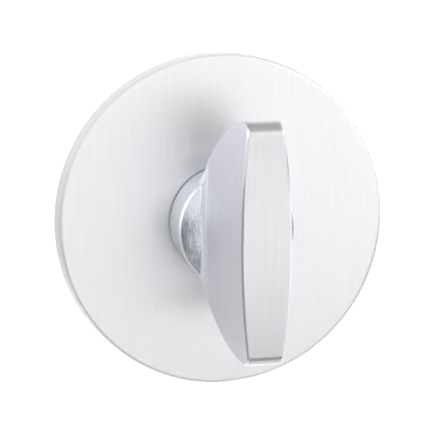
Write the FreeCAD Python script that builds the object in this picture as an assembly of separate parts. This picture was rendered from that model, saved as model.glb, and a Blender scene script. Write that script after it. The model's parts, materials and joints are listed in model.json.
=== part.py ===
import FreeCAD, Part
import math
import os

from FreeCAD import Vector

# Bathroom thumb turn on a round rose, in millimetres.
# The origin is the middle of the rose on the door face. Z is up and the turn stands out towards -Y.
# "Out" is the distance from the door face towards the hand, and is negative inside the door.

# Rose cover
rose_dia = 52.0
rose_depth = 4.0
rose_face_wall = 1.1
rose_rim_wall = 1.2
rose_edge_round = 0.6
rose_foot_bevel = 0.2

# Neck and wing of the turn
neck_foot_dia = 17.3
neck_top_dia = 18.2
neck_rim_out = 12.03        # from the door face to where the neck's rim starts to round over
neck_rim_round = 0.5
shoulder_r = 8.5            # dome of the shoulder, inside the rim
shoulder_slope = 28.4       # degrees, where the shoulder meets the rim's round
wing_reach = 24.0           # from the rose to the ends of the wing's front face
wing_arc_r = 18.25          # half-round outline of the wing, centred on its front face
wing_face_length = 33.4
wing_face_crown = 0.4
wing_face_width = 7.66
wing_tip_length = 2.9       # how far back from the front face the tip's rounding starts
wing_side_r = 128.0         # long curve of each side, seen from the front
wing_side_draft = 5.9       # degrees, thicker towards the neck
wing_root_out = 13.38       # from the door face to the lowest line of the root round
wing_root_round = 0.8
wing_edge_bevel = 0.25
swell_height = 11.0         # where the hollow curve from the neck ends on the wing's side, from the middle
swell_inset = 0.06          # keeps the start of that curve inside the neck

# Shaft behind the neck
shaft_dia = 12.0
shaft_flats = 9.0
shaft_end_land = 1.4
shaft_end_bevel = 0.5
socket_rise = 1.4           # how far the spindle's socket goes past the neck
running_gap = 0.05          # on the radius and at the ends of what turns

# Neck washer
neck_washer_dia = 17.1
neck_washer_thick = 0.45
neck_washer_gap = 0.2       # on the radius, round the shaft

# Guide bush
bush_spigot_wall = 1.2
bush_sleeve_wall = 2.25
bush_tail = 4.0             # how far the sleeve goes into the door
bush_flange_dia = 22.0
bush_flange_thick = 1.0
bush_lug_reach = 1.6
bush_lug_width = 4.0
bush_gap = 0.1              # round the spigot, in the cover

# Stop washer and the quarter turn that it allows
turn_range = 90.0
stop_washer_thick = 1.0
stop_tab_length = 2.4
stop_tab_angle = 30.0
stop_gap = 0.2              # beside and under the tab
stop_slack = 1.0            # degrees, past each end of the turn

# Spring washer and retaining ring
spring_thick = 0.4
spring_bow = 0.6
clip_thick = 1.0
clip_groove_depth = 0.25
clip_wall = 1.55
clip_offset = 0.35          # makes the ring wider opposite its mouth
clip_mouth = 3.2
clip_ear_r = 1.5
clip_ear_hole_r = 0.75

# Spindle and its grub screw
spindle_size = 6.0
spindle_reach = 45.0        # behind the door face
spindle_bevel = 0.4
spindle_gap = 0.05
grub_r = 2.0
grub_length = 5.0
grub_socket = 2.0           # across flats
grub_socket_depth = 2.2
grub_bevel = 0.4
thread_gap = 0.05

# Base plate and snap ring
base_face_gap = 0.5         # between plate and cover, in front
base_rim_gap = 0.2          # between plate and cover, round the rim
base_hole_gap = 0.3         # round the bush's flange and lugs
base_bevel = 0.3
snap_wire_size = 0.9
snap_bite = 0.2             # how far the wire stands into the cover
snap_gap = 0.1
snap_mouth = 24.0           # degrees

# Fixing bolts
bolt_inset = 7.0            # from the rose's edge to the bolt's centre
bolt_dia = 4.0
bolt_shank_dia = 3.5
bolt_head_dia = 7.5
bolt_head_land = 0.2
bolt_head_recess = 0.1
bolt_reach = 20.0           # behind the door face
bolt_thread_start = 1.0     # behind the door face
bolt_tip_bevel = 0.6
bolt_socket = 2.5           # across flats
bolt_socket_depth = 1.3
bolt_hole_gap = 0.25
bolt_seat_gap = 0.05

# Places that follow from the sizes
rose_r = rose_dia / 2
rose_inside = rose_depth - rose_face_wall
rim_inside_r = rose_r - rose_rim_wall
neck_out = rose_depth + neck_washer_thick + running_gap
front_out = rose_depth + wing_reach
neck_foot_r = neck_foot_dia / 2
neck_top_r = neck_top_dia / 2
meet_out = front_out - math.sqrt(wing_arc_r ** 2 - neck_top_r ** 2)
socket_out = meet_out + socket_rise
side_lean = math.radians(wing_side_draft)
shaft_r = shaft_dia / 2
bore_r = shaft_r + running_gap
spigot_r = bore_r + bush_spigot_wall
sleeve_r = bore_r + bush_sleeve_wall
flange_r = bush_flange_dia / 2
lug_r = flange_r + bush_lug_reach
stop_front = -bush_tail - running_gap
stop_back = stop_front - stop_washer_thick
clip_front = stop_back - spring_thick - spring_bow
clip_back = clip_front - clip_thick
shaft_end = clip_back - running_gap - shaft_end_land
form_back = shaft_end - clip_thick
tab_outer_r = sleeve_r - stop_gap
tab_inner_r = tab_outer_r - stop_washer_thick
base_depth = rose_inside - base_face_gap
base_r = rim_inside_r - base_rim_gap
snap_out = base_depth / 2
snap_wire_half = snap_wire_size / 2
snap_ring_r = rim_inside_r + snap_bite - snap_wire_half
bolt_r = bolt_dia / 2
bolt_row = rose_r - bolt_inset
bolt_head_out = base_depth - bolt_head_recess

middle = Vector(0, 0, 0)
to_hand = Vector(0, -1, 0)
up = Vector(0, 0, 1)


def at(radius, out):
    return Vector(radius, -out, 0)


def halfway(centre, start, end):
    # the point of the arc that lies midway between two of its points
    way = (start - centre) + (end - centre)
    return centre + way * ((start - centre).Length / way.Length)


def outline(start, *steps):
    # a closed face: each step is a corner, or a pair for an arc through one point to another
    edges = []
    here = start
    for step in steps:
        if isinstance(step, tuple):
            through, there = step
            edges.append(Part.Arc(here, through, there).toShape())
        else:
            there = step
            edges.append(Part.LineSegment(here, there).toShape())
        here = there
    if (here - start).Length > 1e-6:
        edges.append(Part.LineSegment(here, start).toShape())
    return Part.Face(Part.Wire(edges))


def turned(face, sweep=360.0, start=0.0):
    # angles run from +X towards +Z
    solid = face.revolve(middle, to_hand, sweep)
    solid.rotate(middle, to_hand, start)
    return solid


def disc(radius, back, front):
    return Part.makeCylinder(radius, front - back, at(0, back), to_hand)


def ring(inner, outer, back, front):
    return disc(outer, back, front).cut(disc(inner, back, front))


def band(inner, outer, back, front, sweep, start):
    corners = [at(inner, back), at(outer, back), at(outer, front), at(inner, front)]
    return turned(outline(*corners), sweep, start)


def square_bar(size, back, front):
    return Part.makeBox(size, front - back, size, Vector(-size / 2, -front, -size / 2))


def hexagon(across, centre, along, depth):
    # prism for a socket, its axis along a unit vector
    corner_r = across / math.sqrt(3)
    points = []
    for side in range(7):
        turn = math.radians(60 * side)
        points.append(Vector(corner_r * math.cos(turn), corner_r * math.sin(turn), 0))
    prism = Part.Face(Part.makePolygon(points)).extrude(Vector(0, 0, depth))
    prism.Placement = FreeCAD.Placement(centre, FreeCAD.Rotation(up, along))
    return prism


def rose_cover():
    hole_r = spigot_r + bush_gap
    groove_r = rim_inside_r + snap_bite + snap_gap
    groove_half = snap_wire_half + snap_gap
    edge_centre = at(rose_r - rose_edge_round, rose_depth - rose_edge_round)
    edge_front = at(rose_r - rose_edge_round, rose_depth)
    edge_side = at(rose_r, rose_depth - rose_edge_round)
    section = outline(
        at(hole_r, rose_depth),
        edge_front,
        (halfway(edge_centre, edge_front, edge_side), edge_side),
        at(rose_r, rose_foot_bevel),
        at(rose_r - rose_foot_bevel, 0),
        at(rim_inside_r, 0),
        at(rim_inside_r, snap_out - groove_half),
        at(groove_r, snap_out - groove_half),
        at(groove_r, snap_out + groove_half),
        at(rim_inside_r, snap_out + groove_half),
        at(rim_inside_r, rose_inside),
        at(hole_r, rose_inside),
    )
    return turned(section)


def flank(out):
    # half the wing's thickness, at its middle
    return wing_face_width / 2 + (front_out - out) * math.tan(side_lean)


def side_form(*foot):
    # what one side of the turn is cut back to, swept along the side's long curve:
    # the steps of its foot, then the drafted flank up to the front
    axis_x = wing_face_width / 2 - wing_side_r
    top_out = front_out + 2 * wing_face_crown
    section = outline(
        at(axis_x, form_back),
        *foot,
        at(flank(top_out), top_out),
        at(axis_x, top_out),
    )
    form = section.revolve(at(axis_x, 0), to_hand, 360)
    form.rotate(at(axis_x, 0), to_hand, 180)
    return form


def both_sides(shape, form):
    return shape.common(form).common(form.mirror(middle, Vector(1, 0, 0)))


def wing():
    # half-round plate with rounded tips and a slightly crowned front face, swelling at its root
    def place(height, out):
        return Vector(0, -out, height)

    def below(point):
        return Vector(point.x, point.y, -point.z)

    tip_height = math.sqrt(wing_arc_r ** 2 - wing_tip_length ** 2)
    tip_out = front_out - wing_tip_length
    tip = place(tip_height, tip_out)
    edge = place(wing_face_length / 2, front_out)
    inward = (place(0, front_out) - tip) * (1 / wing_arc_r)
    chord = edge - tip
    tip_r = chord.dot(chord) / (2 * chord.dot(inward))
    tip_through = halfway(tip + inward * tip_r, tip, edge)
    side = outline(
        tip,
        (tip_through, edge),
        (place(0, front_out + wing_face_crown), below(edge)),
        (below(tip_through), below(tip)),
        (place(0, front_out - wing_arc_r), tip),
    )
    side.translate(Vector(-neck_top_r, 0, 0))
    slab = side.extrude(Vector(neck_top_dia, 0, 0))
    body = both_sides(slab.common(swell()), root_form())
    sharp = []
    for line in body.Edges:
        # past the root, all edges but those where a tip runs smoothly into the half-round
        spot = line.CenterOfMass
        start = tip_out if abs(spot.x) < wing_edge_bevel else root_top_out()
        if -spot.y > start + wing_edge_bevel:
            sharp.append(line)
    return body.makeChamfer(wing_edge_bevel, sharp)


def root_top_out():
    return wing_root_out + wing_root_round * (1 - math.sin(side_lean))


def root_form():
    # the wing's side, with the round at its root and a straight wall below that
    top = at(flank(root_top_out()), root_top_out())
    centre = at(top.x + wing_root_round * math.cos(side_lean), wing_root_out + wing_root_round)
    foot = at(centre.x, wing_root_out)
    return side_form(at(foot.x, form_back), foot, (halfway(centre, foot, top), top))


def swell():
    # seen from the front, the neck's circle runs into the wing's sides in hollow curves
    def plan(x, z):
        return Vector(x, -neck_out, z)

    inner_r = neck_top_r - swell_inset
    bow = wing_side_r - math.sqrt(wing_side_r ** 2 - swell_height ** 2)
    waist = flank(wing_root_out) - bow
    swell_r = (waist ** 2 + swell_height ** 2 - inner_r ** 2) / (2 * (inner_r - waist))
    centre = plan(waist + swell_r, swell_height)
    share = inner_r / (inner_r + swell_r)
    on_neck = plan(centre.x * share, centre.z * share)
    on_side = plan(waist, centre.z)
    quarter = outline(
        plan(0, 0),
        plan(inner_r, 0),
        (halfway(plan(0, 0), plan(inner_r, 0), on_neck), on_neck),
        (halfway(centre, on_neck, on_side), on_side),
        plan(waist, wing_arc_r),
        plan(0, wing_arc_r),
    ).extrude(to_hand * front_out)
    half = quarter.fuse(quarter.mirror(middle, up))
    return half.fuse(half.mirror(middle, Vector(1, 0, 0))).removeSplitter()


def neck_and_shaft():
    # the turned part of the casting, with a rounded rim and a domed shoulder inside it
    slope = (neck_top_r - neck_foot_r) / (neck_rim_out - neck_out)
    lean = math.atan(slope)
    tilt = math.radians(shoulder_slope)
    rim_side = at(neck_top_r, neck_rim_out)
    rim_centre = rim_side - at(math.cos(lean), -math.sin(lean)) * neck_rim_round
    rim_way = at(math.sin(tilt), math.cos(tilt))
    rim_inner = rim_centre + rim_way * neck_rim_round
    dome_centre = rim_inner - rim_way * shoulder_r
    dome_top = dome_centre + to_hand * shoulder_r
    body = turned(outline(
        at(0, shaft_end),
        at(shaft_r - shaft_end_bevel, shaft_end),
        at(shaft_r, shaft_end + shaft_end_bevel),
        at(shaft_r, neck_out),
        at(neck_foot_r, neck_out),
        rim_side,
        (halfway(rim_centre, rim_side, rim_inner), rim_inner),
        (halfway(dome_centre, rim_inner, dome_top), dome_top),
        at(0, -dome_top.y),
    ), start=90)
    # under the wing, the neck's side goes on up to the half-round
    top_out = wing_root_out + wing_root_round
    top_r = neck_top_r + slope * (top_out - neck_rim_out)
    stub = turned(outline(
        at(0, neck_out),
        at(neck_foot_r, neck_out),
        at(top_r, top_out),
        at(0, top_out),
    ), start=90)
    return body.fuse(both_sides(stub, root_form()))


def thumb_turn():
    body = wing().fuse(neck_and_shaft())
    for side in (-1, 1):
        edge = side * (shaft_flats / 2)
        corner = Vector(min(edge, edge + side * shaft_r), -stop_front, -shaft_r)
        body = body.cut(Part.makeBox(shaft_r, stop_front - shaft_end, shaft_dia, corner))

    groove_back = clip_back - running_gap
    groove_front = clip_front + running_gap
    body = body.cut(ring(shaft_r - clip_groove_depth, shaft_dia, groove_back, groove_front))
    body = body.cut(square_bar(spindle_size + 2 * spindle_gap, shaft_end, socket_out))
    hole = Part.makeCylinder(grub_r + thread_gap, neck_top_dia, at(0, grub_out()), up * -1)
    return body.cut(hole).removeSplitter()


def grub_out():
    return (neck_out + meet_out) / 2


def neck_washer():
    inner = shaft_r + neck_washer_gap
    return ring(inner, neck_washer_dia / 2, rose_depth, rose_depth + neck_washer_thick)


def guide_bush():
    flange_back = rose_inside - bush_flange_thick
    section = outline(
        at(bore_r, -bush_tail),
        at(sleeve_r, -bush_tail),
        at(sleeve_r, flange_back),
        at(flange_r, flange_back),
        at(flange_r, rose_inside),
        at(spigot_r, rose_inside),
        at(spigot_r, rose_depth),
        at(bore_r, rose_depth),
    )
    body = turned(section)
    bar_corner = Vector(-lug_r, -rose_inside, -bush_lug_width / 2)
    bar = Part.makeBox(2 * lug_r, bush_flange_thick, bush_lug_width, bar_corner)
    body = body.fuse(bar.common(ring(sleeve_r, lug_r, flange_back, rose_inside)))
    sweep = turn_range + stop_tab_angle + 2 * stop_slack
    recess_front = stop_front + stop_tab_length + stop_gap
    inner = tab_inner_r - stop_gap
    outer = sleeve_r + stop_gap
    recess = band(inner, outer, -bush_tail, recess_front, sweep, 90 - sweep / 2)
    return body.cut(recess).removeSplitter()


def stop_washer():
    hole = disc(shaft_r + running_gap, stop_back, stop_front)
    across = shaft_flats + 2 * running_gap
    corner = Vector(-across / 2, -stop_front, -shaft_dia)
    keep = Part.makeBox(across, stop_washer_thick, shaft_dia * 2, corner)
    plate = disc(tab_outer_r, stop_back, stop_front).cut(hole.common(keep))
    tab_start = 90 + turn_range / 2 - stop_tab_angle / 2
    tab_front = stop_front + stop_tab_length
    tab = band(tab_inner_r, tab_outer_r, stop_back, tab_front, stop_tab_angle, tab_start)
    return plate.fuse(tab).removeSplitter()


def spring_washer():
    # a flat ring bent about one line, so that it bears on two edges in front and two behind
    inner = shaft_r + neck_washer_gap
    outer = tab_outer_r
    bend_r = (outer ** 2 + spring_bow ** 2) / (2 * spring_bow)
    blank = ring(inner, outer, clip_front - spring_bow, stop_back)
    centre_out = stop_back - bend_r
    start = Vector(-outer, -centre_out, 0)
    along = Vector(1, 0, 0)
    shell = Part.makeCylinder(bend_r, 2 * outer, start, along)
    shell = shell.cut(Part.makeCylinder(bend_r - spring_thick, 2 * outer, start, along))
    return blank.common(shell).removeSplitter()


def retaining_ring():
    inner = shaft_r - clip_groove_depth + running_gap
    outer = inner + clip_wall
    body = disc(outer, clip_back, clip_front)
    body.translate(Vector(0, 0, clip_offset))
    ear_height = -(inner + clip_ear_r)
    ear_side = clip_mouth / 2 + clip_ear_r
    ears = []
    for side in (-1, 1):
        foot = Vector(side * ear_side, -clip_back, ear_height)
        ears.append(foot)
        body = body.fuse(Part.makeCylinder(clip_ear_r, clip_thick, foot, to_hand))
    body = body.cut(disc(inner, clip_back, clip_front))
    mouth_corner = Vector(-clip_mouth / 2, -clip_front, ear_height - clip_ear_r)
    body = body.cut(Part.makeBox(clip_mouth, clip_thick, -mouth_corner.z, mouth_corner))
    for foot in ears:
        body = body.cut(Part.makeCylinder(clip_ear_hole_r, clip_thick, foot, to_hand))
    return body.removeSplitter()


def spindle():
    bar = square_bar(spindle_size, -spindle_reach, socket_out - spindle_gap)
    return bar.makeChamfer(spindle_bevel, bar.Edges)


def grub_screw():
    # cone-ended set screw, tight against the spindle's lower side
    top = -spindle_size / 2 - spindle_gap
    body = Part.makeCylinder(grub_r, grub_length, Vector(0, -grub_out(), top), up * -1)
    body = body.makeChamfer(grub_bevel, [edge for edge in body.Edges if edge.Closed])
    mouth = Vector(0, -grub_out(), top - grub_length)
    return body.cut(hexagon(grub_socket, mouth, up, grub_socket_depth))


def base_plate():
    hole_r = flange_r + base_hole_gap
    groove_r = snap_ring_r - snap_wire_half - snap_gap
    groove_half = snap_wire_half + snap_gap
    section = outline(
        at(hole_r, 0),
        at(base_r, 0),
        at(base_r, snap_out - groove_half),
        at(groove_r, snap_out - groove_half),
        at(groove_r, snap_out + groove_half),
        at(base_r, snap_out + groove_half),
        at(base_r, base_depth - base_bevel),
        at(base_r - base_bevel, base_depth),
        at(hole_r, base_depth),
    )
    plate = turned(section)
    notch_r = lug_r + base_hole_gap
    notch_width = bush_lug_width + 2 * base_hole_gap
    bar = Part.makeBox(2 * notch_r, base_depth, notch_width, Vector(-notch_r, -base_depth, -notch_width / 2))
    plate = plate.cut(bar.common(disc(notch_r, 0, base_depth)))
    for side in (-1, 1):
        seat = bolt_seat()
        seat.translate(up * (side * bolt_row))
        plate = plate.cut(seat)
    return plate.removeSplitter()


def bolt_seat():
    hole_r = bolt_r + bolt_hole_gap
    mouth_r = bolt_head_dia / 2 + bolt_seat_gap
    cone_out = bolt_head_out - bolt_head_land
    return turned(outline(
        at(0, -bolt_reach),
        at(hole_r, -bolt_reach),
        at(hole_r, cone_out - (mouth_r - hole_r)),
        at(mouth_r, cone_out),
        at(mouth_r, rose_depth),
        at(0, rose_depth),
    ))


def snap_ring():
    inner = snap_ring_r - snap_wire_half
    outer = snap_ring_r + snap_wire_half
    back = snap_out - snap_wire_half
    front = snap_out + snap_wire_half
    return band(inner, outer, back, front, 360 - snap_mouth, snap_mouth / 2 - 90)


def fixing_bolts():
    head_r = bolt_head_dia / 2
    shank_r = bolt_shank_dia / 2
    cone_out = bolt_head_out - bolt_head_land
    section = outline(
        at(0, -bolt_reach),
        at(bolt_r - bolt_tip_bevel, -bolt_reach),
        at(bolt_r, bolt_tip_bevel - bolt_reach),
        at(bolt_r, -bolt_thread_start - (bolt_r - shank_r)),
        at(shank_r, -bolt_thread_start),
        at(shank_r, cone_out - (head_r - shank_r)),
        at(head_r, cone_out),
        at(head_r, bolt_head_out),
        at(0, bolt_head_out),
    )
    bolt = turned(section).cut(hexagon(bolt_socket, at(0, bolt_head_out), to_hand * -1, bolt_socket_depth))
    bolts = []
    for side in (-1, 1):
        copy = bolt.copy()
        copy.translate(up * (side * bolt_row))
        bolts.append(copy)
    return Part.makeCompound(bolts)


pieces = [
    rose_cover,
    thumb_turn,
    neck_washer,
    guide_bush,
    stop_washer,
    spring_washer,
    retaining_ring,
    spindle,
    grub_screw,
    base_plate,
    snap_ring,
    fixing_bolts,
]

os.makedirs("parts", exist_ok=True)
for piece in pieces:
    shape = piece()
    shape.exportStep("parts/" + piece.__name__ + ".step")
    print(piece.__name__, len(shape.Solids), shape.isValid(), round(shape.Volume, 2))
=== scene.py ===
import json
import math
import bmesh
import bpy
from mathutils import Matrix, Vector


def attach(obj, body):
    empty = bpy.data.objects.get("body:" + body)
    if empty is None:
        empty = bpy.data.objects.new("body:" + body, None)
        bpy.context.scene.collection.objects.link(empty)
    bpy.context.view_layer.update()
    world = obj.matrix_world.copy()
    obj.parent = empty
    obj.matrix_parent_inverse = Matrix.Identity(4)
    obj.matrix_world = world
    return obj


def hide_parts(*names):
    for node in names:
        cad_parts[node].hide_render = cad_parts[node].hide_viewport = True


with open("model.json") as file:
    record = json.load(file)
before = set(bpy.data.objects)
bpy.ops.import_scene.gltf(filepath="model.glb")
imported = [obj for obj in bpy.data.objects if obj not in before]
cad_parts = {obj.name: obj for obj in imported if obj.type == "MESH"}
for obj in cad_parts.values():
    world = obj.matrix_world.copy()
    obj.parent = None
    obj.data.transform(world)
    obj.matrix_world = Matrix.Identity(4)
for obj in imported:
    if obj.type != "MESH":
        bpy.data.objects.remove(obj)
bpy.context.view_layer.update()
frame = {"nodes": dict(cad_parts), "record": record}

scene = bpy.context.scene
print("loaded", len(frame["nodes"]), "CAD nodes")


# small helpers for the finishes

lineRange = (0.25, 0.75)        # most of a brush line's noise lies in here
speckRange = (0.3, 0.7)         # and of a plain noise in here


def newFinish(name, colour, metal, rough):
    mat = bpy.data.materials.new(name)
    mat.use_nodes = True
    shader = mat.node_tree.nodes["Principled BSDF"]
    shader.inputs["Base Color"].default_value = (*colour, 1)
    shader.inputs["Metallic"].default_value = metal
    shader.inputs["Roughness"].default_value = rough
    return mat, shader


def addNode(mat, kind, **values):
    node = mat.node_tree.nodes.new(kind)
    for key, value in values.items():
        setattr(node, key, value)
    return node


def feed(mat, value, socket):
    # the value is a number, a colour or another node's output
    if isinstance(value, (int, float)):
        socket.default_value = value
    elif isinstance(value, tuple):
        socket.default_value = (*value, 1)
    else:
        mat.node_tree.links.new(value, socket)


def sums(mat, operation, first, second=0.0):
    node = addNode(mat, "ShaderNodeMath", operation=operation)
    feed(mat, first, node.inputs[0])
    feed(mat, second, node.inputs[1])
    return node.outputs[0]


def times(mat, first, second):
    return sums(mat, "MULTIPLY", first, second)


def eitherWay(mat, value):
    return sums(mat, "ABSOLUTE", value)


def ramp(mat, value, low, high, first=0.0, last=1.0):
    node = addNode(mat, "ShaderNodeMapRange", interpolation_type="SMOOTHSTEP")
    feed(mat, value, node.inputs["Value"])
    feed(mat, low, node.inputs["From Min"])
    feed(mat, high, node.inputs["From Max"])
    feed(mat, first, node.inputs["To Min"])
    feed(mat, last, node.inputs["To Max"])
    return node.outputs["Result"]


def mixed(mat, share, first, second):
    node = addNode(mat, "ShaderNodeMix", data_type="FLOAT")
    feed(mat, share, node.inputs[0])
    feed(mat, first, node.inputs[2])
    feed(mat, second, node.inputs[3])
    return node.outputs[0]


def blend(mat, share, first, second, kind="MIX"):
    node = addNode(mat, "ShaderNodeMix", data_type="RGBA", blend_type=kind)
    feed(mat, share, node.inputs[0])
    feed(mat, first, node.inputs[6])
    feed(mat, second, node.inputs[7])
    return node.outputs[2]


def tint(mat, shader, colour, factor):
    # base colour multiplied by a grey factor
    feed(mat, blend(mat, 1.0, colour, factor, "MULTIPLY"), shader.inputs["Base Color"])


def placeOf(mat):
    coords = addNode(mat, "ShaderNodeTexCoord")
    split = addNode(mat, "ShaderNodeSeparateXYZ")
    feed(mat, coords.outputs["Object"], split.inputs[0])
    return coords.outputs["Object"], split.outputs


def facing(mat):
    # surface direction in the piece's own axes, so that it turns with the wing
    geometry = addNode(mat, "ShaderNodeNewGeometry")
    turnBack = addNode(mat, "ShaderNodeVectorTransform", vector_type="NORMAL",
                       convert_from="WORLD", convert_to="OBJECT")
    split = addNode(mat, "ShaderNodeSeparateXYZ")
    feed(mat, geometry.outputs["Normal"], turnBack.inputs[0])
    feed(mat, turnBack.outputs[0], split.inputs[0])
    return split.outputs


def grain(mat, place, stretch, scale, detail=3.0):
    # noise drawn out into lines by the stretch on each axis
    mapping = addNode(mat, "ShaderNodeMapping")
    mapping.inputs["Scale"].default_value = stretch
    noise = addNode(mat, "ShaderNodeTexNoise")
    noise.inputs["Scale"].default_value = scale
    noise.inputs["Detail"].default_value = detail
    feed(mat, place, mapping.inputs["Vector"])
    feed(mat, mapping.outputs[0], noise.inputs["Vector"])
    return noise.outputs["Fac"]


def raised(mat, shader, height, relief, normal=None):
    bump = addNode(mat, "ShaderNodeBump")
    bump.inputs["Strength"].default_value, bump.inputs["Distance"].default_value = relief
    feed(mat, height, bump.inputs["Height"])
    if normal:
        feed(mat, normal, bump.inputs["Normal"])
    feed(mat, bump.outputs[0], shader.inputs["Normal"])


def alongBrush(mat, shader, pull):
    # the brush lines run up and down the piece and draw a reflection out across them
    upright = addNode(mat, "ShaderNodeCombineXYZ")
    upright.inputs["Z"].default_value = 1.0
    turnOut = addNode(mat, "ShaderNodeVectorTransform", vector_type="VECTOR",
                      convert_from="OBJECT", convert_to="WORLD")
    feed(mat, upright.outputs[0], turnOut.inputs[0])
    feed(mat, turnOut.outputs[0], shader.inputs["Tangent"])
    shader.inputs["Anisotropic"].default_value = pull
    shader.inputs["Anisotropic Rotation"].default_value = 0.25      # a quarter turn


# satin rose: upright brush lines on the face, turned lines round the edge

roseLook = {
    "colour": (0.88, 0.88, 0.888),
    "rough": 0.36,
    "edgeDark": 0.87,                       # the turned edge is darker and more matt
    "edgeRough": 0.7,
    "edgeMetal": 0.3,
    "faceFrom": (-0.00386, -0.00398),       # depth at which the edge passes into the face
    "fineLines": ((1, 1, 0.02), 6000),      # stretch and scale of the lines
    "broadLines": ((1, 1, 0.04), 1500),
    "turnedLines": ((0.02, 1, 0.02), 5200),
    "broadShare": 0.35,
    "lineDark": 0.06,                       # how far the lines darken the metal
    "lineRough": 0.06,                      # and how far its roughness varies with them
    "pull": 0.55,
    "relief": (0.22, 0.00002),              # strength and depth
}


def roseFinish(look):
    mat, shader = newFinish("satinRose", look["colour"], 1.0, look["rough"])
    place, axes = placeOf(mat)
    onFace = ramp(mat, axes[1], *look["faceFrom"])
    fine = grain(mat, place, *look["fineLines"])
    broad = grain(mat, place, *look["broadLines"])
    turned = grain(mat, place, *look["turnedLines"])
    lines = mixed(mat, onFace, turned, mixed(mat, look["broadShare"], fine, broad))
    pale = ramp(mat, lines, *lineRange, 1 - look["lineDark"], 1.0)
    tint(mat, shader, look["colour"], times(mat, pale, mixed(mat, onFace, look["edgeDark"], 1.0)))
    rough = mixed(mat, onFace, look["edgeRough"], look["rough"])
    spread = ramp(mat, lines, *lineRange, -look["lineRough"] / 2, look["lineRough"] / 2)
    feed(mat, sums(mat, "ADD", rough, spread), shader.inputs["Roughness"])
    feed(mat, mixed(mat, onFace, look["edgeMetal"], 1.0), shader.inputs["Metallic"])
    alongBrush(mat, shader, look["pull"])
    raised(mat, shader, lines, look["relief"])
    return mat


# satin turn: brushed front, smooth sides, grainy scoops beside the wing's foot

turnLook = {
    # the wing's face
    "colour": (0.705, 0.705, 0.712),
    "rough": 0.27,
    "faceFrom": (-0.019, -0.021),           # depth at which it starts
    "toFront": (-0.75, -0.88),              # direction of what counts as facing the front
    "fineLines": ((1, 1, 0.012), 4200),     # stretch and scale of the lines
    "lineDark": 0.05,
    # its sides, its two ends and the narrow polished bevels
    "sideColour": (0.835, 0.84, 0.89),
    "sideRough": 0.5,
    "satinLines": ((1, 1, 0.03), 2600),
    "tipColour": (0.79, 0.795, 0.81),
    "tipRough": 0.36,
    "leaning": (0.3, 0.45),                 # direction of what counts as leaning to one side
    "bevelRough": 0.16,
    "bevelFrom": (-0.0150, -0.0156),        # the bevels start in front of the wing's root
    # the neck and its rim
    "neckColour": (0.825, 0.85, 0.915),
    "neckRough": 0.32,
    # painted highlight: the rim's near-white colour stands in for the bright highlight along its
    # rounding
    "rimHighlightColour": (0.94, 0.96, 1.0),
    "rim": (-0.0112, -0.0116, -0.0133, -0.0137),    # from the neck to the wing's root
    "neckShadeBelow": (0.001, -0.005),             # painted shade: the neck's colour darkens towards its bottom
    "neckShadeTone": 0.67,
    # the scoops on the neck's shoulders
    "scoopColour": (0.81, 0.835, 0.91),
    "scoopRough": 0.26,
    "scoopFrom": (0.0057, 0.0060),          # distance from the wing's middle
    "pits": ((1, 1, 0.4), 7000, 2.0),       # stretch, scale and detail of the cast grain
    "streaks": ((1, 1, 0.1), 5200, 2.0),
    "streakShare": 0.55,
    "pitRange": (0.4, 0.6),
    "pitDark": 0.62,
    "grainFadeLitTop": (0.001, 0.005),            # the grain fades out towards the top, into a plain lighter tone that is painted light
    "paintedLightTopTone": 0.87,
    "rimShadeReach": (0.0074, 0.0084),            # and the scoops are darkened towards the rim, a painted shade
    "rimShadeTone": 0.74,
    # all over
    "edge": 0.0001,                         # how far the sharp edges look rounded
    "topEdge": 0.0009,                      # and those of the wing's top end
    "topEnd": (0.0155, 0.0165),
    "edgeSamples": 6,
    "pull": 0.35,
    "relief": (0.1, 0.00002),               # strength and depth
}


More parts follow.
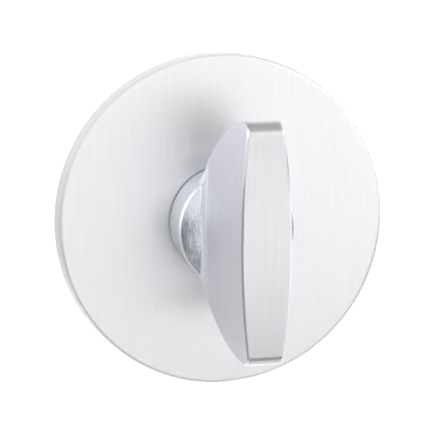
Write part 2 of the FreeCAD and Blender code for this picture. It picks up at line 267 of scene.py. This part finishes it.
def turnFinish(look):
    mat, shader = newFinish("satinTurn", look["colour"], 1.0, look["rough"])
    place, axes = placeOf(mat)
    normal = facing(mat)
    sideways = eitherWay(mat, axes[0])
    depth, height = axes[1], axes[2]

    # where the parts of the turn are
    forward = ramp(mat, normal[1], *look["toFront"])
    face = times(mat, forward, ramp(mat, depth, *look["faceFrom"]))
    scoop = times(mat, forward, ramp(mat, sideways, *look["scoopFrom"]))
    neckEnd, rimStart, rimEnd, wingStart = look["rim"]
    onNeck = ramp(mat, depth, rimStart, neckEnd)
    pastNeck = ramp(mat, depth, neckEnd, rimStart)
    rimHighlight = times(mat, pastNeck, ramp(mat, depth, wingStart, rimEnd))
    upOrDown = ramp(mat, eitherWay(mat, normal[2]), *look["leaning"])
    tips = times(mat, upOrDown, ramp(mat, depth, rimEnd, wingStart))
    leftOrRight = ramp(mat, eitherWay(mat, normal[0]), *look["leaning"])
    slanted = times(mat, leftOrRight, ramp(mat, normal[1], *(-lean for lean in look["leaning"])))
    bevels = times(mat, slanted, ramp(mat, depth, *look["bevelFrom"]))

    # brush lines and cast grain
    fine = grain(mat, place, *look["fineLines"])
    satin = grain(mat, place, *look["satinLines"])
    pits = grain(mat, place, *look["pits"])
    streaks = grain(mat, place, *look["streaks"])
    cast = mixed(mat, look["streakShare"], pits, streaks)
    lines = mixed(mat, face, mixed(mat, scoop, satin, cast), fine)

    # colour
    sides = blend(mat, onNeck, look["sideColour"], look["neckColour"])
    sides = blend(mat, tips, sides, look["tipColour"])
    # painted highlight: the rim is given a near-white copy of the metal
    sides = blend(mat, rimHighlight, sides, look["rimHighlightColour"])
    ground = blend(mat, face, sides, look["colour"])
    ground = blend(mat, scoop, ground, look["scoopColour"])
    pale = ramp(mat, lines, *lineRange, 1 - look["lineDark"], 1.0)
    # painted shade: the neck's colour is darkened towards its bottom, standing in for the shade and dark
    # reflections below it
    paintedNeckShade = ramp(mat, height, *look["neckShadeBelow"], 1.0, look["neckShadeTone"])
    pale = times(mat, pale, mixed(mat, onNeck, 1.0, paintedNeckShade))
    pitted = ramp(mat, cast, *look["pitRange"], look["pitDark"], 1.0)
    # painted shade: the scoops darken towards the rim, standing in for the dark crescent of shade inside
    # it
    pitted = times(mat, pitted, ramp(mat, sideways, *look["rimShadeReach"], 1.0, look["rimShadeTone"]))
    # the scoops' grain fades out towards the top into a plain lighter tone, painted light standing in
    # for the bright reflection there
    pitted = mixed(mat, ramp(mat, height, *look["grainFadeLitTop"]), pitted, look["paintedLightTopTone"])
    tint(mat, shader, ground, mixed(mat, scoop, pale, pitted))

    # roughness, brush direction and edges
    rough = mixed(mat, pastNeck, look["neckRough"], look["sideRough"])
    rough = mixed(mat, tips, rough, look["tipRough"])
    rough = mixed(mat, face, rough, look["rough"])
    rough = mixed(mat, bevels, rough, look["bevelRough"])
    feed(mat, mixed(mat, scoop, rough, look["scoopRough"]), shader.inputs["Roughness"])
    alongBrush(mat, shader, look["pull"])
    rounded = addNode(mat, "ShaderNodeBevel", samples=look["edgeSamples"])
    radius = ramp(mat, height, *look["topEnd"], look["edge"], look["topEdge"])
    feed(mat, radius, rounded.inputs["Radius"])
    raised(mat, shader, lines, look["relief"], rounded.outputs[0])
    return mat


# the hidden pieces

evenly = (1, 1, 1)
plainLooks = {
    # a real washer, coloured dark blue-grey as painted shade for the shadow in the gap at the neck's
    # foot
    "slideRingShadowTone": {"colour": (0.3, 0.31, 0.34), "metal": 0.0, "rough": 0.45},
    "naturalNylon": {"colour": (0.78, 0.77, 0.71), "metal": 0.0, "rough": 0.42},
    "springSteel": {"colour": (0.26, 0.25, 0.24), "metal": 1.0, "rough": 0.34},
    "blackOxide": {"colour": (0.06, 0.06, 0.065), "metal": 1.0, "rough": 0.4},
}
plainGrain = {"scale": 900, "smoother": 0.05, "rougher": 0.07, "relief": (0.06, 0.00003)}


def plainFinish(name, look, specks):
    mat, shader = newFinish(name, look["colour"], look["metal"], look["rough"])
    speck = grain(mat, placeOf(mat)[0], evenly, specks["scale"])
    least, most = look["rough"] - specks["smoother"], look["rough"] + specks["rougher"]
    feed(mat, ramp(mat, speck, *speckRange, least, most), shader.inputs["Roughness"])
    raised(mat, shader, speck, specks["relief"])
    return mat


zincLook = {
    "colour": (0.66, 0.69, 0.72),
    "rough": 0.32,
    "smoother": 0.06,
    "rougher": 0.1,
    "cloudScale": 260,
    "cloudDetail": 5.0,
    "cloudDark": 0.14,
}


def zincFinish(look):
    mat, shader = newFinish("zincPlate", look["colour"], 1.0, look["rough"])
    cloud = grain(mat, placeOf(mat)[0], evenly, look["cloudScale"], look["cloudDetail"])
    tint(mat, shader, look["colour"], ramp(mat, cloud, *speckRange, 1 - look["cloudDark"], 1.0))
    least, most = look["rough"] - look["smoother"], look["rough"] + look["rougher"]
    feed(mat, ramp(mat, cloud, *speckRange, least, most), shader.inputs["Roughness"])
    return mat


plain = {name: plainFinish(name, look, plainGrain) for name, look in plainLooks.items()}
finishes = {
    "satin_rose": roseFinish(roseLook),
    "satin_turn": turnFinish(turnLook),
    "slide_ring": plain["slideRingShadowTone"],
    "nylon": plain["naturalNylon"],
    "zinc_steel": zincFinish(zincLook),
    "spring_steel": plain["springSteel"],
    "dark_steel": plain["blackOxide"],
}

for entry in frame["record"]["subparts"]:
    node = frame["nodes"][entry["node"]]
    node.data.materials.clear()
    node.data.materials.append(finishes[entry["material_slot"]])
print("finishes on", len(finishes), "slots")


# fixing bolts with their threads, in place of the plain CAD ones

boltLook = {
    "row": 0.019,               # each bolt's distance from the middle
    "headR": 0.00375,
    "headFront": -0.0023,
    "headLand": -0.0021,
    "bevel": 0.0001,
    "socketR": 0.00144,         # corner of the hexagon
    "socketRing": 0.00194,      # the head's front is flat from here outwards
    "socketFoot": -0.0010,
    "shankR": 0.00175,
    "coneFoot": -0.0001,
    "shankEnd": 0.0009,
    "core": 0.0017,
    "crest": 0.0020,
    "threadStart": 0.0010,
    "threadEnd": 0.0194,
    "end": 0.0200,
    "tipR": 0.0013,
    "pitch": 0.0007,
    # one tooth of the thread, at shares of the pitch
    "tooth": [("core", 0.0), ("core", 0.2), ("crest", 0.5), ("crest", 0.7), ("core", 1.0)],
    "steps": 48,
    "sharp": 40,                # degrees from which an edge is not shaded smooth
}
alongBolt = (0, 1, 0)
sameSpot = 1e-6
onPlane = 1e-7


def spunLine(bm, points, steps, turns=1, rise=0.0):
    # a line of radius and place along the bolt, spun round the bolt's axis
    verts = [bm.verts.new((radius, y, 0)) for radius, y in points]
    edges = [bm.edges.new(pair) for pair in zip(verts, verts[1:])]
    bmesh.ops.spin(bm, geom=verts + edges, cent=(0, 0, 0), axis=alongBolt, dvec=(0, rise / steps, 0),
                   angle=2 * math.pi * turns, steps=steps * turns, use_merge=rise == 0.0)


def openRing(bm, y, radius=1.0):
    # open edges at one place along the bolt, inside the radius
    def inside(vert):
        return abs(vert.co.y - y) < sameSpot and math.hypot(vert.co.x, vert.co.z) < radius
    return [e for e in bm.edges if len(e.link_faces) < 2 and all(inside(v) for v in e.verts)]


def onlyVerts(geom):
    return [g for g in geom if isinstance(g, bmesh.types.BMVert)]


def boltThread(bm, look):
    pitch = look["pitch"]
    first = look["threadStart"] - 2 * pitch
    turns = math.ceil((look["threadEnd"] - first) / pitch) + 1
    tooth = [(look[part], first + share * pitch) for part, share in look["tooth"]]
    spunLine(bm, tooth, look["steps"], turns, pitch)
    bmesh.ops.remove_doubles(bm, verts=bm.verts, dist=sameSpot)
    for place, away in ((look["threadStart"], -1), (look["threadEnd"], 1)):
        bmesh.ops.bisect_plane(bm, geom=bm.verts[:] + bm.edges[:] + bm.faces[:], dist=onPlane,
                               plane_co=(0, place, 0), plane_no=(0, away, 0), clear_outer=True)


def boltTip(bm, look):
    grown = bmesh.ops.extrude_edge_only(bm, edges=openRing(bm, look["threadEnd"]))["geom"]
    share = look["tipR"] / look["crest"]
    bmesh.ops.scale(bm, verts=onlyVerts(grown), vec=(share, 1, share))
    bmesh.ops.translate(bm, verts=onlyVerts(grown), vec=(0, look["end"] - look["threadEnd"], 0))
    bmesh.ops.edgeloop_fill(bm, edges=openRing(bm, look["end"]))


def boltHead(bm, look):
    front, bevel = look["headFront"], look["bevel"]
    headR, shankR = look["headR"], look["shankR"]
    outline = [(look["socketRing"], front), (headR - bevel, front), (headR, front + bevel),
               (headR, look["headLand"]), (shankR, look["coneFoot"]), (shankR, look["shankEnd"])]
    spunLine(bm, outline, look["steps"])
    across = Matrix.Translation((0, front, 0)) @ Matrix.Rotation(math.pi / 2, 4, "X")
    bmesh.ops.create_circle(bm, segments=6, radius=look["socketR"], matrix=across)
    hexagon = openRing(bm, front, look["socketR"] + bevel)
    grown = bmesh.ops.extrude_edge_only(bm, edges=hexagon)["geom"]
    bmesh.ops.translate(bm, verts=onlyVerts(grown), vec=(0, look["socketFoot"] - front, 0))
    bmesh.ops.edgeloop_fill(bm, edges=openRing(bm, look["socketFoot"]))
    bmesh.ops.bridge_loops(bm, edges=openRing(bm, front))


def addBolts(look):
    bm = bmesh.new()
    boltThread(bm, look)
    boltTip(bm, look)
    boltHead(bm, look)
    bmesh.ops.bridge_loops(bm, edges=openRing(bm, look["shankEnd"]) + openRing(bm, look["threadStart"]))
    twin = bmesh.ops.duplicate(bm, geom=bm.verts[:] + bm.edges[:] + bm.faces[:])["geom"]
    bmesh.ops.translate(bm, verts=bm.verts, vec=(0, 0, look["row"]))
    bmesh.ops.translate(bm, verts=onlyVerts(twin), vec=(0, 0, -2 * look["row"]))
    bmesh.ops.recalc_face_normals(bm, faces=bm.faces)
    mesh = bpy.data.meshes.new("fixingBolts")
    bm.to_mesh(mesh)
    bm.free()
    mesh.shade_smooth()
    mesh.set_sharp_from_angle(angle=math.radians(look["sharp"]))
    mesh.materials.append(finishes["zinc_steel"])
    bolts = bpy.data.objects.new("fixingBolts", mesh)
    scene.collection.objects.link(bolts)
    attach(bolts, "rose")
    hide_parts("fixing_bolts")
    print("bolts with threads:", len(mesh.polygons), "faces")


addBolts(boltLook)


# stage, light and camera

stageLook = {"floor": -0.15, "reach": 6.0, "colour": (0.5, 0.5, 0.505), "rough": 0.9}


def addFloor(look):
    bm = bmesh.new()
    bmesh.ops.create_grid(bm, x_segments=1, y_segments=1, size=look["reach"])
    bmesh.ops.translate(bm, verts=bm.verts, vec=(0, 0, look["floor"]))
    mesh = bpy.data.meshes.new("floor")
    bm.to_mesh(mesh)
    bm.free()
    floor = bpy.data.objects.new("floor", mesh)
    scene.collection.objects.link(floor)
    mat, shader = newFinish("paleFloor", look["colour"], 0.0, look["rough"])
    shader.inputs["Specular IOR Level"].default_value = 0.0
    mesh.materials.append(mat)


skyLook = {
    # place from straight down to straight up, and grey
    "bands": [(0.0, 0.35), (0.46, 0.8), (0.5, 1.1), (0.62, 1.15), (0.76, 1.1), (0.88, 0.5), (1.0, 0.42)],
    "blue": 1.01,                   # a little cooler than grey
    "lean": (0.3, -0.05, 0.0),      # brighter to the right and in front
}


def addSky(look):
    world = bpy.data.worlds.new("studio")
    scene.world = world
    world.use_nodes = True
    tree = world.node_tree
    background = tree.nodes["Background"]
    coords = tree.nodes.new("ShaderNodeTexCoord")
    split = tree.nodes.new("ShaderNodeSeparateXYZ")
    height = tree.nodes.new("ShaderNodeMapRange")
    height.inputs["From Min"].default_value = -1.0
    colours = tree.nodes.new("ShaderNodeValToRGB")
    stops = colours.color_ramp.elements
    while len(stops) < len(look["bands"]):
        stops.new(0.5)
    for stop, (at, grey) in zip(stops, look["bands"]):
        stop.position = at
        stop.color = (grey, grey, grey * look["blue"], 1)
    tree.links.new(coords.outputs["Generated"], split.inputs[0])
    tree.links.new(split.outputs["Z"], height.inputs["Value"])
    tree.links.new(height.outputs[0], colours.inputs[0])
    tree.links.new(colours.outputs[0], background.inputs["Color"])
    sides = tree.nodes.new("ShaderNodeVectorMath")
    sides.operation = "DOT_PRODUCT"
    sides.inputs[1].default_value = look["lean"]
    strength = tree.nodes.new("ShaderNodeMath")
    strength.inputs[1].default_value = 1.0
    tree.links.new(coords.outputs["Generated"], sides.inputs[0])
    tree.links.new(sides.outputs["Value"], strength.inputs[0])
    tree.links.new(strength.outputs[0], background.inputs["Strength"])


lamps = {
    "back": {       # whitens the floor behind the part
        "at": (0.8, 1.827, 1.6), "to": (0.8, 1.827, -0.15), "size": (2.0, 3.6),
        "spread": 12, "watts": 49.5, "gloss": False, "matt": True,
    },
    "front": {      # lights the floor that the rose and the wing's face reflect
        "at": (1.0, -1.78, 1.6), "to": (1.0, -1.78, -0.15), "size": (2.4, 2.8),
        "spread": 28, "watts": 39.2, "gloss": False, "matt": True,
    },
    "left": {       # shows only as a reflection
        "at": (-1.2, 0.1, 0.5), "to": (0.0, 0.0, 0.1), "size": (0.8, 1.2),
        "spread": 180, "watts": 5.6, "gloss": True, "matt": False,
    },
    "below": {      # lifts the rose's matt edge
        "at": (-0.01, -0.02, -0.14), "to": (0.0, 0.0, 0.0), "size": (0.4, 0.06),
        "spread": 180, "watts": 0.36, "gloss": False, "matt": True,
    },
}


def addLamp(name, look):
    light = bpy.data.lights.new(name, "AREA")
    light.shape = "RECTANGLE"
    light.size, light.size_y = look["size"]
    light.energy = look["watts"]
    light.spread = math.radians(look["spread"])
    lamp = bpy.data.objects.new(name, light)
    scene.collection.objects.link(lamp)
    aim = Vector(look["to"]) - Vector(look["at"])
    lamp.location = look["at"]
    lamp.rotation_euler = aim.to_track_quat("-Z", "Y").to_euler()
    lamp.visible_glossy = look["gloss"]
    lamp.visible_diffuse = look["matt"]


view = {
    "azimuth": -14.9,
    "elevation": 9.3,
    "distance": 0.340,
    "lens": 178.5,
    "sensor": 36,
    "nearest": 0.01,
    "right": 0.0002,        # how far the camera is moved sideways
    "down": 0.00021,
}


def addCamera(look):
    turn = math.radians(look["azimuth"])
    lift = math.radians(look["elevation"])
    back = Vector((math.sin(turn) * math.cos(lift), -math.cos(turn) * math.cos(lift), math.sin(lift)))
    right = Vector((math.cos(turn), math.sin(turn), 0))
    up = back.cross(right)
    camera = bpy.data.objects.new("camera", bpy.data.cameras.new("camera"))
    scene.collection.objects.link(camera)
    spot = back * look["distance"] + right * look["right"] - up * look["down"]
    camera.matrix_world = Matrix.Translation(spot) @ Matrix((right, up, back)).transposed().to_4x4()
    camera.data.lens = look["lens"]
    camera.data.sensor_width = look["sensor"]
    camera.data.clip_start = look["nearest"]
    scene.camera = camera


addFloor(stageLook)
addSky(skyLook)
for name, look in lamps.items():
    addLamp(name, look)
addCamera(view)
scene.view_settings.view_transform = "Standard"
print("stage, light and camera ready")
